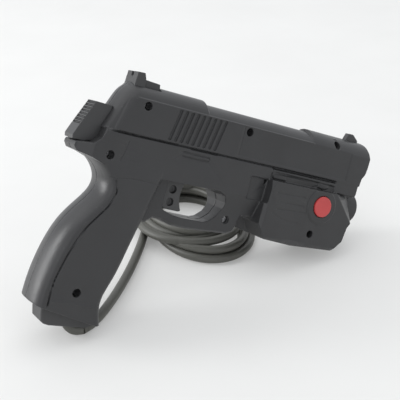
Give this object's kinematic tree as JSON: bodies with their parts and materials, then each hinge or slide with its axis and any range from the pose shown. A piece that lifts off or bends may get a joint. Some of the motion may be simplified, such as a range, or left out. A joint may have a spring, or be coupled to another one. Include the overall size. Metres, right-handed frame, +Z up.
{
  "type": "light gun controller",
  "caption": "Pistol-shaped light gun controller with a lens in the muzzle, a sprung trigger, a round button on each side and a coiled cord with a plug.",
  "frame": {"origin": "on the table, under the centre of the bounding box of the gun as it lies, cord and plug left out", "axes": "+Z up from the table; +X level, towards the muzzle end; +Y to the gun's left. The gun lies nose down and leaning to its left, as it rests"},
  "size_m": [0.2496, 0.1431, 0.1435],
  "materials": {
    "body_plastic": "fine spark-eroded texture, low sheen",
    "hammer_plastic": "fine texture",
    "sight_plastic": "fine texture",
    "base_plastic": "fine texture",
    "trigger_plastic": "smooth satin",
    "switch_plastic": "moulded",
    "button_red": "satin gloss",
    "dome_rubber": "translucent grey silicone",
    "tube_plastic": "moulded",
    "ring_plastic": "moulded",
    "lens_clear": "polished",
    "board_green": "solder mask",
    "photodiode_dark": "dark window",
    "chip_black": "moulded",
    "socket_plastic": "moulded",
    "wire_grey": "insulation",
    "cord_rubber": "smooth matt sheath",
    "screw_steel": "plated",
    "spring_steel": "drawn wire",
    "plug_plastic": "moulded",
    "plug_metal": "pressed shell",
    "contact_brass": "plated"
  },
  "bodies": {
    "frame": {"button_board": "board_green", "button_dome_left": "dome_rubber", "button_dome_right": "dome_rubber", "button_lead": "wire_grey", "casing_left": "body_plastic", "casing_right": "body_plastic", "casing_screws": "screw_steel", "cord_coil": "cord_rubber", "cord_inner": "cord_rubber", "cord_socket": "socket_plastic", "cord_tail": "cord_rubber", "cord_tube": "cord_rubber", "front_sight": "sight_plastic", "hammer": "hammer_plastic", "lens": "lens_clear", "lens_ring": "ring_plastic", "magazine_base": "base_plastic", "main_board": "board_green", "main_chip": "chip_black", "photodiode": "photodiode_dark", "plug_body": "plug_plastic", "plug_contacts": "contact_brass", "plug_shell": "plug_metal", "rear_sight": "sight_plastic", "sensor_board": "board_green", "sensor_lead": "wire_grey", "sensor_tube": "tube_plastic", "strain_relief": "cord_rubber", "switch_lead": "wire_grey", "trigger_pin": "screw_steel", "trigger_spring": "spring_steel", "trigger_switch": "switch_plastic"},
    "trigger": {"trigger": "trigger_plastic"},
    "button_right": {"button_right": "button_red"},
    "button_left": {"button_left": "button_red"}
  },
  "joints": [
    {"name": "trigger_pull", "type": "hinge", "parent": "frame", "child": "trigger", "pos_m": [-0.02571, 0.00797, 0.08306], "axis": [-0.09, 0.9736, -0.2099], "range_deg": [0, 9], "stiffness_Nm_per_rad": 0.12, "springref_deg": -20.05, "deforming": ["trigger_spring"]},
    {"name": "button_right_press", "type": "slide", "parent": "frame", "child": "button_right", "axis": [-0.09, 0.9736, -0.2099], "range_m": [0, 0.0015], "stiffness_N_per_m": 500, "springref_m": -0.0006, "deforming": ["button_dome_right"]},
    {"name": "button_left_press", "type": "slide", "parent": "frame", "child": "button_left", "axis": [0.09, -0.9736, 0.2099], "range_m": [0, 0.0015], "stiffness_N_per_m": 500, "springref_m": -0.0006, "deforming": ["button_dome_left"]}
  ]
}
